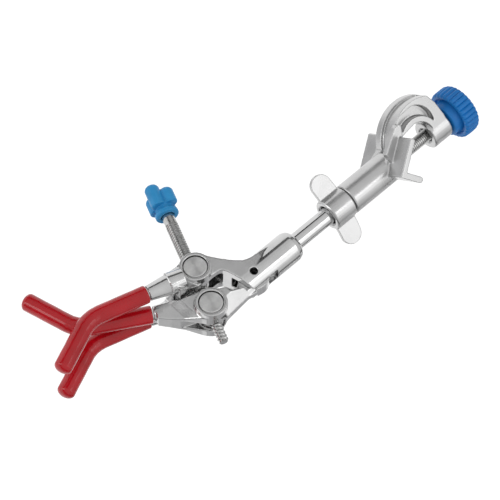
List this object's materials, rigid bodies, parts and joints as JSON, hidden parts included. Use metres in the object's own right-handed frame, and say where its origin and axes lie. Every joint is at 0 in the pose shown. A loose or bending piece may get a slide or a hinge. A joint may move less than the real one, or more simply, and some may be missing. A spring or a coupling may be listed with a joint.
{
  "type": "retort clamp",
  "caption": "Retort clamp with rubber-covered prongs on a swivelling arm, a double-threaded jaw screw and a boss head that grips a stand rod.",
  "frame": {"origin": "centre of a 12 mm stand rod seated in the V of the boss head", "axes": "+Z along the stand rod, +X along the arm towards the prongs, -Y towards the side that the hook rises on"},
  "size_m": [0.2299, 0.0653, 0.068],
  "materials": {
    "chrome_casting": "bright chrome over a die casting",
    "plain_steel": "turned and threaded steel",
    "blue_plastic": "moulded, satin to gloss",
    "red_vinyl": "dipped vinyl, glossy",
    "brass": "plain turned"
  },
  "bodies": {
    "boss": {"boss_head": "chrome_casting"},
    "clamp_screw": {"clamp_screw": "plain_steel"},
    "clamp_knob": {"clamp_knob": "blue_plastic"},
    "lock_washer": {"friction_washer": "brass"},
    "wing_nut": {"wing_nut": "chrome_casting"},
    "arm": {"arm_rod": "chrome_casting", "retaining_ring": "plain_steel", "jaw_head": "chrome_casting", "upper_prong_near": "plain_steel", "upper_prong_far": "plain_steel", "upper_sleeve_near": "red_vinyl", "upper_sleeve_far": "red_vinyl", "jaw_pivot_pin": "plain_steel"},
    "upper_trunnion": {"upper_trunnion": "plain_steel"},
    "adjust_screw": {"adjust_screw": "plain_steel"},
    "adjust_knob": {"adjust_knob": "blue_plastic"},
    "lower_jaw": {"lower_jaw": "chrome_casting", "lower_prong": "plain_steel", "lower_sleeve": "red_vinyl"},
    "lower_trunnion": {"lower_trunnion": "plain_steel"}
  },
  "joints": [
    {"name": "clamp_screw_slide", "type": "slide", "parent": "boss", "child": "clamp_screw", "axis": [-1, 0, 0], "range_m": [0, 0.0115]},
    {"name": "clamp_knob_turn", "type": "hinge", "parent": "clamp_screw", "child": "clamp_knob", "pos_m": [-0.0378, 0, 0], "axis": [-1, 0, 0], "range_deg": [0, 4141]},
    {"name": "lock_washer_slide", "type": "slide", "parent": "boss", "child": "lock_washer", "axis": [1, 0, 0], "range_m": [0, 0.0015]},
    {"name": "wing_nut_turn", "type": "hinge", "parent": "lock_washer", "child": "wing_nut", "pos_m": [0.039, 0, 0], "axis": [1, 0, 0], "range_deg": [0, 361]},
    {"name": "arm_swivel", "type": "hinge", "parent": "boss", "child": "arm", "pos_m": [0.05, 0, 0], "axis": [1, 0, 0], "continuous": true},
    {"name": "jaw_opening", "type": "hinge", "parent": "arm", "child": "lower_jaw", "pos_m": [0.0914, 0.00067, 0.00074], "axis": [0, -0.7396, 0.673], "range_deg": [0, 45]},
    {"name": "upper_trunnion_turn", "type": "hinge", "parent": "arm", "child": "upper_trunnion", "pos_m": [0.10985, -0.01132, -0.01244], "axis": [0, -0.7396, 0.673], "range_deg": [0, 22.5]},
    {"name": "adjust_screw_slide", "type": "slide", "parent": "upper_trunnion", "child": "adjust_screw", "axis": [0.3746, 0.624, 0.6858], "range_m": [0, 0.00698]},
    {"name": "adjust_knob_turn", "type": "hinge", "parent": "adjust_screw", "child": "adjust_knob", "pos_m": [0.09487, -0.03628, -0.03987], "axis": [0.3746, 0.624, 0.6858], "range_deg": [0, 2010]},
    {"name": "lower_trunnion_turn", "type": "hinge", "parent": "lower_jaw", "child": "lower_trunnion", "pos_m": [0.11705, 0.00067, 0.00074], "axis": [0, -0.7396, 0.673], "range_deg": [-22.5, 0]}
  ],
  "couplings": [
    {"joint": "clamp_knob_turn", "follows": "clamp_screw_slide", "rad_per_m": 6283.2},
    {"joint": "wing_nut_turn", "follows": "lock_washer_slide", "rad_per_m": 4188.8},
    {"joint": "upper_trunnion_turn", "follows": "jaw_opening", "ratio": 0.5},
    {"joint": "lower_trunnion_turn", "follows": "jaw_opening", "ratio": -0.5},
    {"joint": "adjust_screw_slide", "follows": "jaw_opening", "m_per_rad": 0.00888},
    {"joint": "adjust_knob_turn", "follows": "jaw_opening", "ratio": 44.638}
  ]
}
